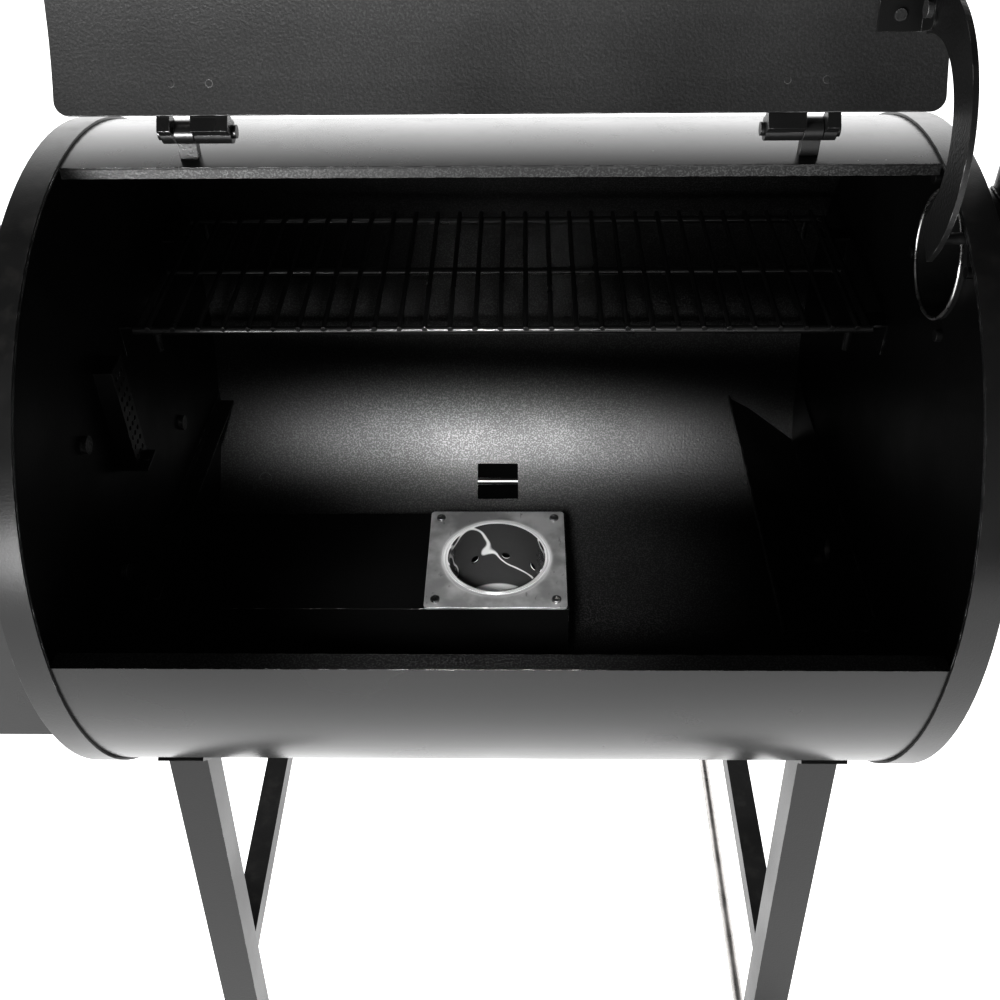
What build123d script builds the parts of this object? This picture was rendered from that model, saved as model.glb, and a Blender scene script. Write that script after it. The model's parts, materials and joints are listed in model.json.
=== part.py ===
from build123d import *
from math import cos, radians, sin
import os

# Wood pellet smoker with a round steel chamber, drawn with its lid fully open.
# Millimetres. While it is modelled, the origin is the middle of the chamber's
# axis: X runs along the axis to the right, Y to the rear and Z up. The last
# section moves everything so that the origin is the bottom centre of the whole.

# ---- driving dimensions ------------------------------------------------------
SHEET = 2.0                # steel sheet of the chamber, walls and cabinet
CHAMBER_R = 285.0          # outer radius of the round chamber
AXIS_HEIGHT = 800.0        # chamber axis above the floor
HALF_LENGTH = 351.0        # half of the chamber's overall length
RIM_WIDTH = 24.0           # visible width of the trim ring at each end
RIM_R = 287.4              # outer radius of the trim rings
WALL_X = 336.0             # inner face of each end wall
OPENING_LOW = 2.8          # lower edge of the cooking opening, degrees above front
OPENING_HIGH = 83.9        # upper edge of the cooking opening, degrees above front
LIP = 15.0                 # inward fold along the opening's lower edge
RIM_FOLD = 7.0             # how far the trim rings fold in over the shell's ends
VENT_X = -9.5              # rear air vent: two slots, one above the other
VENT_HALF = 23.5
VENT_AT = -47.4            # angle of the vent below the rear horizontal, degrees
VENT_STEP = 2.5            # half of the angle between the two slots

LID_R = 286.0              # inner radius of the curved lid
LID_SHEET = 1.6
LID_HALF = 322.0           # half of the lid's width
LID_LOW = -1.0             # lid edges when closed, degrees above front
LID_HIGH = 86.0
LID_OPEN = 130.0           # how far the lid swings open
HINGE_Y = -14.0            # hinge pin axis
HINGE_Z = 304.0
HINGE_MID = 231.0          # hinge posts, left and right of the middle
PIN_R = 3.0
DIAL_AT = 46.0             # thermometer on the closed lid, degrees above front
NEEDLE_COLD = -135.0       # needle's cold end, degrees from the dial's top

POT_X = -7.0               # burn pot centre
POT_TOP = -150.0           # top of the cover that the burn pot hangs in
POT_FLANGE = 139.0
POT_R = 50.0
POT_DEPTH = 105.0
COVER_END = 64.0           # right end of the auger cover
COVER_HALF = 69.0          # half of the cover's width
AUGER_Z = -203.0           # auger axis
TUBE_R = 27.0
AUGER_SHAFT_R = 5.5
MOTOR_X = -566.0           # left face of the auger's gearbox

RACK_Z = 117.0             # upper rack: height of its frame rods
RACK_HALF = 318.0
RACK_FRONT = 8.0
RACK_REAR = 208.0
RACK_WIRES = 29
RACK_ROD_R = 3.5
RACK_WIRE_R = 2.2

FLUE_Y = -52.0             # chimney outlet on the right end wall
FLUE_Z = 221.0
FLUE_R = 48.5
CHIMNEY_X = 412.0
CHIMNEY_TOP = 500.0

HOPPER_LEFT = -590.0       # pellet hopper cabinet
HOPPER_RIGHT = -352.0
HOPPER_HALF = 150.0
HOPPER_LOW = -242.0
HOPPER_TOP = 140.0
HOPPER_HINGE_OUT = 12.0    # hopper lid's hinge axis, behind the cabinet

BOLT_R = 4.0               # M8 bolts of the cradles and the cabinet
BOLT_HEAD_R = 7.5
BOLT_HEAD = 5.0            # height of a bolt head
CRADLE_BOLT_AT = -47.0     # cradle bolts, degrees above front and rear

LEG_X = 282.0              # legs: distance from the middle
LEG = 35.0                 # square tube
LEG_TOP_Y = 196.0          # leg centre line at its top and at the floor
LEG_TOP_Z = -205.0
LEG_FOOT_Y = 285.0
BRACE = 25.0
BRACE_Z = -520.0
WHEEL_R = 80.0
WHEEL_WIDTH = 30.0
AXLE_R = 6.0
FIT = 0.06                 # running clearance of a wheel or pin in its bore

SPOUT_Y = 30.0             # grease spout through the right end wall
SPOUT_Z = -164.0
SPOUT_R = 11.0
BUCKET_X = 432.0
BUCKET_R = 58.0
BUCKET_TALL = 105.0

parts = {}


# ---- small helpers -----------------------------------------------------------
def block(x0, x1, y0, y1, z0, z1):
    """A box between two corners."""
    centre = Pos((x0 + x1) / 2, (y0 + y1) / 2, (z0 + z1) / 2)
    return centre * Box(x1 - x0, y1 - y0, z1 - z0)


def rod_x(r, x0, x1, y=0.0, z=0.0):
    return Pos((x0 + x1) / 2, y, z) * Rot(0, 90, 0) * Cylinder(r, x1 - x0)


def rod_y(r, y0, y1, x=0.0, z=0.0):
    return Pos(x, (y0 + y1) / 2, z) * Rot(90, 0, 0) * Cylinder(r, y1 - y0)


def rod_z(r, z0, z1, x=0.0, y=0.0):
    return Pos(x, y, (z0 + z1) / 2) * Cylinder(r, z1 - z0)


def tube_x(r_in, r_out, x0, x1, y=0.0, z=0.0):
    return rod_x(r_out, x0, x1, y, z) - rod_x(r_in, x0 - 1, x1 + 1, y, z)


def tube_y(r_in, r_out, y0, y1, x, z):
    return rod_y(r_out, y0, y1, x, z) - rod_y(r_in, y0 - 1, y1 + 1, x, z)


def prism_x(points, x0, x1):
    """A flat outline of (y, z) points, carried along X from x0 to x1."""
    outline = Plane.YZ.offset(x0) * make_face(Polyline(*points, close=True))
    return extrude(outline, x1 - x0)


def prism_y(points, y0, y1):
    """A flat outline of (x, z) points, carried along Y from y0 to y1."""
    corners = [(x, y0, z) for x, z in points]
    return extrude(make_face(Polyline(*corners, close=True)), y1 - y0, dir=(0, 1, 0))


def ray(r, degrees):
    """The (y, z) point at radius r, an angle above the front horizontal."""
    return (-r * cos(radians(degrees)), r * sin(radians(degrees)))


def sector_x(low, high, x0, x1):
    """A pie slice about the chamber axis, larger than the chamber."""
    steps = [low + (high - low) * k / 4 for k in range(5)]
    return prism_x([(0.0, 0.0)] + [ray(3 * CHAMBER_R, a) for a in steps], x0, x1)


def both_sides(shape):
    """A shape and its mirror image, left and right."""
    return [shape, mirror(shape, Plane.YZ)]


def keep(name, *solids):
    """Record a node: one named piece, or a group of identical pieces."""
    flat = [s for item in solids for s in item.solids()]
    parts[name] = flat[0] if len(flat) == 1 else Compound(children=flat)


def open_lid(shape):
    """Turn a shape of the closed lid to the open rest position."""
    return shape.rotate(Axis((0, HINGE_Y, HINGE_Z), (1, 0, 0)), -LID_OPEN)


# ---- chamber -----------------------------------------------------------------
def barrel_shell():
    """Rolled shell with the cooking opening, its folded edges and the rear vent."""
    inner = CHAMBER_R - SHEET
    cut_x = HALF_LENGTH - RIM_WIDTH
    end_x = HALF_LENGTH - SHEET
    shell = tube_x(inner, CHAMBER_R, -end_x, end_x)
    shell -= sector_x(OPENING_LOW, OPENING_HIGH, -cut_x, cut_x)
    lip_y, lip_z = ray(CHAMBER_R, OPENING_LOW)
    front_lip = block(-cut_x, cut_x, lip_y + 0.6, lip_y + LIP, lip_z - SHEET, lip_z)
    hem_y, hem_z = ray(inner, OPENING_HIGH)
    top_hem = block(-cut_x, cut_x, hem_y, hem_y + SHEET, hem_z - 7, hem_z + 0.5)
    shell = shell + front_lip + top_hem
    slot_tall = 17.0
    slot = block(VENT_X - VENT_HALF, VENT_X + VENT_HALF, CHAMBER_R - 15,
                 CHAMBER_R + 15, -slot_tall / 2, slot_tall / 2)
    for side in (-1, 1):
        shell -= Rot(VENT_AT + side * VENT_STEP, 0, 0) * slot
    return shell


def vent_cover():
    """Folded hood over the rear vent, open along its lower edge."""
    half, tall, out, sheet = VENT_HALF + 11, 33.0, 20.0, 1.2
    face = CHAMBER_R + out
    hood = block(VENT_X - half, VENT_X + half, CHAMBER_R - 9, face, -tall, tall)
    hood -= block(VENT_X - half + sheet, VENT_X + half - sheet, CHAMBER_R - 20, face - sheet,
                  -tall - 9, tall - sheet)
    hood -= rod_x(CHAMBER_R + 0.1, -HALF_LENGTH, HALF_LENGTH)
    return Rot(VENT_AT, 0, 0) * hood


def end_rim():
    """Rolled trim ring folded over the right end of the shell."""
    band = tube_x(CHAMBER_R + 0.2, RIM_R, HALF_LENGTH - RIM_WIDTH, HALF_LENGTH)
    fold = tube_x(CHAMBER_R - RIM_FOLD, RIM_R - 0.5, HALF_LENGTH - SHEET + 0.1, HALF_LENGTH)
    return band + fold


def chamber():
    inner = CHAMBER_R - SHEET
    keep("barrel_shell", barrel_shell())
    keep("end_rims", *both_sides(end_rim()))
    keep("vent_cover", vent_cover())

    left = rod_x(inner, -WALL_X - SHEET, -WALL_X)
    left -= rod_x(TUBE_R + 0.3, -WALL_X - 9, -WALL_X + 9, 0, AUGER_Z)
    left -= block(-WALL_X - 9, -WALL_X + 9, 34, 62, AUGER_Z - 16, AUGER_Z + 16)
    keep("end_wall_left", left)

    right = rod_x(inner, WALL_X, WALL_X + SHEET)
    right -= rod_x(FLUE_R, WALL_X - 9, WALL_X + 9, FLUE_Y, FLUE_Z)
    right -= rod_x(SPOUT_R, WALL_X - 9, WALL_X + 9, SPOUT_Y, SPOUT_Z)
    keep("end_wall_right", right)


# ---- drip tray supports inside the chamber -----------------------------------
def tray_supports():
    bore = rod_x(CHAMBER_R - SHEET - 0.2, -WALL_X, WALL_X)
    rear, front = 262.0, -95.0
    rear_z, front_z, foot_z = -134.0, -110.0, -196.0
    rail = [(rear, rear_z), (front, front_z), (front, foot_z), (front + SHEET, foot_z),
            (front + SHEET, front_z - SHEET), (rear, rear_z - SHEET)]
    ledge = prism_x(rail, -WALL_X, -WALL_X + 17)
    upstand = prism_x([(rear, rear_z), (front, front_z), (front, front_z + 9),
                       (rear, rear_z + 9)], -WALL_X, -WALL_X + 1.5)
    keep("tray_ledge_left", (ledge + upstand) & bore)

    # The right end drains: a V channel against the wall, lip towards the middle.
    lip_x, lip_z, low_z, high_z = 257.0, -130.0, -176.0, -104.0
    section = [(WALL_X, high_z), (WALL_X, low_z), (lip_x, lip_z), (lip_x, lip_z + 6),
               (lip_x + SHEET, lip_z + 6), (lip_x + SHEET, lip_z + SHEET),
               (WALL_X - SHEET, low_z + 3.4), (WALL_X - SHEET, high_z)]
    trough = prism_y(section, -120, 245)
    end_plate = prism_y([(WALL_X, low_z), (lip_x, lip_z), (lip_x, lip_z + 6),
                         (WALL_X, lip_z + 6)], -120, -120 + SHEET)
    drain = rod_x(SPOUT_R, WALL_X - 9, WALL_X + 9, SPOUT_Y, SPOUT_Z)
    keep("grease_trough", (trough + end_plate - drain) & bore)


# ---- burn pot, auger and igniter ---------------------------------------------
def burner():
    inner = CHAMBER_R - SHEET
    pot_low = POT_TOP - POT_DEPTH
    roof = block(-WALL_X, COVER_END, -COVER_HALF, COVER_HALF, POT_TOP - SHEET, POT_TOP)
    front = block(-WALL_X, COVER_END, -COVER_HALF, -COVER_HALF + SHEET, -inner, POT_TOP)
    back = mirror(front, Plane.XZ)
    end = block(COVER_END - SHEET, COVER_END, -COVER_HALF, COVER_HALF, -inner, POT_TOP)
    cover = (roof + front + back + end) & rod_x(inner - 0.2, -WALL_X, WALL_X)
    cover -= rod_z(POT_R + 0.5, pot_low, 0, POT_X)

    half = POT_FLANGE / 2
    flange_top = POT_TOP + 2.5
    plate = block(POT_X - half, POT_X + half, -half, half, POT_TOP, flange_top)
    plate = fillet(plate.edges().filter_by(Axis.Z), 4)
    lip = rod_z(POT_R + 2, flange_top, flange_top + 1.6, POT_X)
    lip = chamfer(lip.edges().group_by(Axis.Z)[-1], 1.2)
    cup = rod_z(POT_R, pot_low, POT_TOP, POT_X)
    bowl = rod_z(POT_R - 1.8, pot_low + SHEET, 0, POT_X)
    pot = plate + lip + cup - bowl
    pot -= rod_x(TUBE_R - 2, POT_X - POT_R - 9, POT_X - 20, 0, AUGER_Z)
    igniter_z = pot_low + 11
    pot -= rod_x(5.0, POT_X - POT_R - 9, POT_X - 20, 0, igniter_z)
    air_holes = 9
    for k in range(air_holes):
        turn = Rot(0, 0, 180 + 360 * (k + 0.5) / air_holes)
        hole = rod_x(4.5, POT_R - 9, POT_R + 9, 0, AUGER_Z + 12)
        pot -= Pos(POT_X, 0, 0) * turn * hole

    reach = half - 10.5
    screws = []
    for sx in (-1, 1):
        for sy in (-1, 1):
            x, y = POT_X + sx * reach, sy * reach
            head = fillet(rod_z(4.6, flange_top, flange_top + 2.4, x, y).edges()
                          .group_by(Axis.Z)[-1], 1.2)
            slot = block(x - 2.6, x + 2.6, y - 0.5, y + 0.5, flange_top + 1.2, 0)
            slot += block(x - 0.5, x + 0.5, y - 2.6, y + 2.6, flange_top + 1.2, 0)
            shank = rod_z(2.5, POT_TOP - 9, flange_top, x, y)
            screws.append(head - slot + shank)
    for screw in screws:
        pot -= screw
        cover -= screw
    keep("burn_pot", pot)
    keep("auger_cover", cover)
    keep("burn_pot_screws", *screws)

    tube_end = POT_X - POT_R
    tube_start = -524.0
    tube = tube_x(TUBE_R - 2, TUBE_R, tube_start, tube_end, 0, AUGER_Z)
    tube &= block(-999, tube_end, -99, 99, -999, 0)
    tube -= block(-505, -435, -17, 17, AUGER_Z, AUGER_Z + 99)
    tube -= rod_z(POT_R, -999, 0, POT_X)
    keep("auger_tube", tube)

    shaft = rod_x(AUGER_SHAFT_R, tube_start - 32, tube_end - 6, 0, AUGER_Z)
    pitch, turns = 42.0, 10
    path = Helix(pitch=pitch, height=pitch * turns, radius=14.0)
    blade = Plane(origin=path @ 0, x_dir=(1, 0, 0), z_dir=path % 0) * Rectangle(18.6, 2.4)
    flight = sweep(blade, path, is_frenet=True)
    flight = Pos(tube_start + 22, 0, AUGER_Z) * Rot(0, 90, 0) * flight
    keep("auger", shaft + flight)

    sheath = rod_x(4.8, -205, POT_X - 34, 0, igniter_z)
    collar = tube_x(4.8, 9, tube_end - 8, tube_end - 0.4, 0, igniter_z)
    keep("igniter", sheath + (collar - rod_z(POT_R + 0.1, -999, 0, POT_X)))


# ---- upper rack and its hangers ----------------------------------------------
def upper_rack():
    """Welded wire rack: a rod frame with thin wires laid front to rear over it."""
    z = RACK_Z
    rods = [rod_x(RACK_ROD_R, -RACK_HALF, RACK_HALF, y, z) for y in
            (RACK_FRONT, (RACK_FRONT + RACK_REAR) / 2, RACK_REAR)]
    reach = RACK_HALF - RACK_ROD_R
    rods += [rod_y(RACK_ROD_R - 0.1, RACK_FRONT, RACK_REAR, sx * reach, z) for sx in (-1, 1)]
    top = z + RACK_ROD_R + RACK_WIRE_R - 0.5
    step = 2 * (reach - 11) / (RACK_WIRES - 1)
    for k in range(RACK_WIRES):
        x = -reach + 11 + k * step
        rods.append(rod_y(RACK_WIRE_R, RACK_FRONT - 7, RACK_REAR + 5, x, top))
    for sx in (-1, 1):
        for y in (RACK_FRONT, RACK_REAR):
            rods.append(rod_z(RACK_ROD_R - 0.2, z - 20, z, sx * (reach - 16), y))
    rack = rods[0]
    for rod in rods[1:]:
        rack += rod
    keep("upper_rack", rack)

    hangers = []
    seat = RACK_Z - RACK_ROD_R - 0.4
    for y in (RACK_FRONT + 22, RACK_REAR - 22):
        shelf = block(WALL_X - 26, WALL_X, y - 11, y + 11, seat - SHEET, seat)
        plate = block(WALL_X - SHEET, WALL_X, y - 11, y + 11, seat - 30, seat)
        hangers += both_sides(shelf + plate)
    keep("rack_hangers", *hangers)


# ---- temperature probe -------------------------------------------------------
def probe():
    x0 = -WALL_X
    y_mid, low, high = -42.0, 14.0, 116.0
    guard = block(x0, x0 + 16, y_mid - 14, y_mid + 14, low, high)
    guard -= block(x0 - 1, x0 + 14.5, y_mid - 12.5, y_mid + 12.5, low - 1, high + 1)
    columns, rows = 3, 9
    for i in range(columns):
        for k in range(rows):
            y = y_mid + (i - 1) * 7.6
            z = low + 10 + k * (high - low - 20) / (rows - 1)
            guard -= rod_x(2.4, x0 + 9, x0 + 20, y, z)
    foot = block(x0, x0 + 24, y_mid - 14, y_mid + 14, low - SHEET, low)
    keep("probe_guard", guard + foot - rod_z(2.2, low - 9, low + 9, x0 + 20, y_mid))
    rod = fillet(rod_z(3.0, low + 8, high - 14, x0 + 7, y_mid).edges()
                 .group_by(Axis.Z)[0], 2.5)
    elbow = rod_x(3.0, x0, x0 + 7, y_mid, high - 14) + Pos(x0 + 7, y_mid, high - 14) * Sphere(3.0)
    keep("temperature_probe", rod + elbow)


# ---- lid ---------------------------------------------------------------------
def facing_front(shape, degrees):
    """Turn a shape built on the front of the chamber up to an angle."""
    return Rot(-degrees, 0, 0) * shape


def lid():
    outer = LID_R + LID_SHEET
    sheet = tube_x(LID_R, outer, -LID_HALF, LID_HALF)
    sheet &= sector_x(LID_LOW, LID_HIGH, -LID_HALF, LID_HALF)
    corners = [e for e in sheet.edges() if e.length < LID_SHEET + 0.2]
    sheet = fillet(corners, 11)

    dial_at, handle_at, bar_out = DIAL_AT, 15.0, 46.0
    stem_hole = facing_front(rod_y(3.2, -outer - 9, -LID_R + 9), dial_at)
    sheet -= stem_hole
    bar_y = -outer - bar_out
    bar_r, bar_half, post_x = 10.5, 205.0, 170.0
    bar = fillet(rod_x(bar_r, -bar_half, bar_half, bar_y).edges(), 4)
    posts = []
    for sx in (-1, 1):
        x = sx * post_x
        post = rod_y(8.0, bar_y, -outer + 2, x)
        post -= rod_x(outer + 0.05, -250, 250) + rod_x(bar_r, -250, 250, bar_y)
        stud = rod_y(3.0, -outer - 4, -LID_R + 9, x)
        nut = rod_y(7.0, -LID_R - 0.6, -LID_R + 5, x) & rod_x(LID_R - 0.1, -250, 250)
        posts.append(open_lid(facing_front(post + stud + nut, handle_at)))
        sheet -= facing_front(stud, handle_at)
    keep("lid_sheet", open_lid(sheet))
    keep("lid_handle_bar", open_lid(facing_front(bar, handle_at)))
    keep("lid_handle_posts", *posts)

    # Dial thermometer: case with a stem through the lid, needle and window.
    back = -outer - 1.2
    case = rod_y(37, back - 15, back) - rod_y(34.5, back - 16, back - 3)
    case += rod_y(3.0, back, -LID_R + 62)
    spindle = rod_y(1.2, back - 9, back - 3)
    case += spindle
    window = rod_y(34.4, back - 14.2, back - 12.6)
    hub = rod_y(4.5, back - 8.8, back - 6.6)
    needle = hub + block(-1.3, 1.3, back - 8.2, back - 7.2, -20, 27)
    needle -= rod_y(1.2 + FIT, back - 12, back)
    needle = Rot(0, NEEDLE_COLD, 0) * needle
    keep("thermometer_case", open_lid(facing_front(case, dial_at)))
    keep("thermometer_window", open_lid(facing_front(window, dial_at)))
    keep("thermometer_needle", open_lid(facing_front(needle, dial_at)))


def lid_hinges():
    """Two hinges: a post on the chamber, a leaf on the lid and the pin between."""
    eye_r = 8.5
    leaf_low = LID_R + LID_SHEET + 0.2
    x_post = (HINGE_MID - 7, HINGE_MID + 7)
    x_outer = (HINGE_MID + 7.5, HINGE_MID + 17)
    x_inner = (HINGE_MID - 35, HINGE_MID - 7.5)
    y, z = HINGE_Y, HINGE_Z
    post = rod_x(eye_r, *x_post, y, z) + block(*x_post, y - 4, y + 4, CHAMBER_R - 4, z)
    post -= rod_x(CHAMBER_R, -999, 999)
    post -= rod_x(PIN_R + FIT, -999, 999, y, z)
    leaf = block(x_inner[0], x_outer[1], y - 44, y - 8, leaf_low, leaf_low + 3)
    for x0, x1 in (x_outer, x_inner):
        leaf += rod_x(eye_r, x0, x1, y, z)
        leaf += block(x0, x1, y - 9, y + 5, leaf_low, z - 4)
    leaf -= rod_x(PIN_R, -999, 999, y, z)
    pin = rod_x(PIN_R, x_inner[0] - 2, x_outer[1] + 2, y, z)
    pin += rod_x(6.0, x_outer[1], x_outer[1] + 3, y, z)
    pin += rod_x(5.0, x_inner[0] - 3, x_inner[0], y, z)
    stud_x = (x_inner[0] + 12, x_outer[1] - 12)
    lid_ring = rod_x(LID_R, -999, 999)
    studs = []
    for x in stud_x:
        shank = rod_z(2.6, LID_R - 12, leaf_low + 3, x, y - 28) - lid_ring
        head = rod_z(5.0, leaf_low + 3, leaf_low + 5.4, x, y - 28)
        studs.append(shank + head)
        leaf -= shank
    keep("hinge_posts", *both_sides(post))
    keep("hinge_leaves", *[open_lid(s) for s in both_sides(leaf)])
    keep("hinge_pins", *[open_lid(s) for s in both_sides(pin)])
    rivets = [open_lid(m) for s in studs for m in both_sides(s)]
    for rivet in rivets:
        parts["lid_sheet"] -= rivet
    return rivets


def lid_stay(rivets):
    """Curved stay: a flat arm that swings into the chamber and stops the lid."""
    arm_x0, arm_x1 = 302.0, 306.0
    mid_y, mid_z = -36.0, 310.0
    r_in, r_out = 65.0, 97.0
    start, end = 62.0, 221.0

    def spot(r, degrees):
        return (mid_y + r * cos(radians(degrees)), mid_z + r * sin(radians(degrees)))

    half = (start + end) / 2
    outline = [ThreePointArc(spot(r_out, start), spot(r_out, half), spot(r_out, end)),
               Line(spot(r_out, end), spot(r_in, end)),
               ThreePointArc(spot(r_in, end), spot(r_in, half), spot(r_in, start)),
               Line(spot(r_in, start), spot(r_out, start))]
    arm = extrude(Plane.YZ.offset(arm_x0) * make_face(outline), arm_x1 - arm_x0)
    arm &= open_lid(rod_x(CHAMBER_R - SHEET - 1.5, arm_x0, arm_x1))
    stop_y, stop_z = spot((r_in + r_out) / 2, end - 3)
    stop_r = 4.3
    arm += rod_x(stop_r, arm_x0, HALF_LENGTH - RIM_WIDTH + 2.5, stop_y, stop_z)

    # Angle bracket riveted to the inside of the lid, built on the closed lid.
    at, tall = 71.6, 36.0
    base = block(269, arm_x0, -LID_R + 1.2, -LID_R + 3.0, -tall / 2, tall / 2)
    flange = block(arm_x0 - 2, arm_x0, -LID_R + 1.2, -LID_R + 27, -tall / 2, tall / 2)
    bracket = fillet((base + flange).edges().filter_by(Axis.X).group_by(Axis.Y)[-1], 7)
    heads = []
    for dz in (-7, 7):
        x = 284.0
        head = rod_y(4.2, -LID_R + 3.0, -LID_R + 5.0, x, dz)
        shank = rod_y(2.2, -LID_R - LID_SHEET, -LID_R + 3.0, x, dz)
        heads.append(open_lid(facing_front(head + shank, at)))
    bracket = open_lid(facing_front(bracket, at))
    bolt_y, bolt_z = spot((r_in + r_out) / 2, start + 9)
    bolt = rod_x(3.0, arm_x0 - 4, arm_x1, bolt_y, bolt_z)
    bolt += rod_x(6.0, arm_x1, arm_x1 + 3, bolt_y, bolt_z)
    bolt += rod_x(6.0, arm_x0 - 6, arm_x0 - 2, bolt_y, bolt_z)
    heads.append(bolt)
    for head in heads:
        bracket -= head
        arm -= head
        parts["lid_sheet"] -= head
    keep("stay_bracket", bracket)
    keep("stay_arm", arm)
    keep("lid_rivets", *rivets, *heads)


# ---- chimney -----------------------------------------------------------------
def chimney():
    x, y, z, top = CHIMNEY_X, FLUE_Y, FLUE_Z, CHIMNEY_TOP

    def bend(r, start, end):
        """A level run and an upright run that meet in a 45 degree mitre."""
        below = prism_y([(x, z), (x + 600, z - 600), (x - 600, z - 600), (x - 600, z + 600)],
                        -400, 400)
        level = rod_x(r, start, x + r, y, z) & below
        return level + (rod_z(r, z - r, end, x, y) - below)

    bore = FLUE_R - 1.6
    outer_face = WALL_X + SHEET
    pipe = bend(FLUE_R, WALL_X - 4, top) - bend(bore, WALL_X - 9, top + 9)
    flange = tube_x(FLUE_R - 0.5, FLUE_R + 21, outer_face, outer_face + 2, y, z)
    pipe += flange & rod_x(CHAMBER_R - SHEET - 0.2, 0, 999)
    screws = []
    for degrees in (43, 163, 233, 333):
        a = radians(degrees)
        sy, sz = y + (FLUE_R + 12) * cos(a), z + (FLUE_R + 12) * sin(a)
        screw = rod_x(2.4, WALL_X - 3, outer_face + 2, sy, sz)
        screw += rod_x(4.6, WALL_X - 4.5, WALL_X, sy, sz)
        screw += rod_x(4.2, outer_face + 2, outer_face + 5, sy, sz)
        screws.append(screw)
        pipe -= screw
        parts["end_wall_right"] -= screw
    keep("chimney_screws", *screws)

    # A strap across the pipe's mouth holds the stud that the cap screws onto.
    stud_r = 4.0
    strap = block(x - bore - 0.5, x + bore + 0.5, y - 8, y + 8, top - 12, top - 10)
    strap &= rod_z(bore + 0.5, 0, 999, x, y)
    stud = rod_z(stud_r, top - 18, top + 52, x, y) + rod_z(7.0, top - 10, top - 4, x, y)
    keep("chimney_pipe", pipe + strap + stud)
    low = top + 14
    cap = rod_z(FLUE_R + 16, low - 12, low + 2, x, y)
    cap -= rod_z(FLUE_R + 14.4, low - 13, low, x, y)
    cap += Pos(x, y, low + 8.5) * Cone(FLUE_R + 15, 14, 13)
    keep("chimney_cap", cap - rod_z(stud_r + FIT, 0, 999, x, y))


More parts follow.
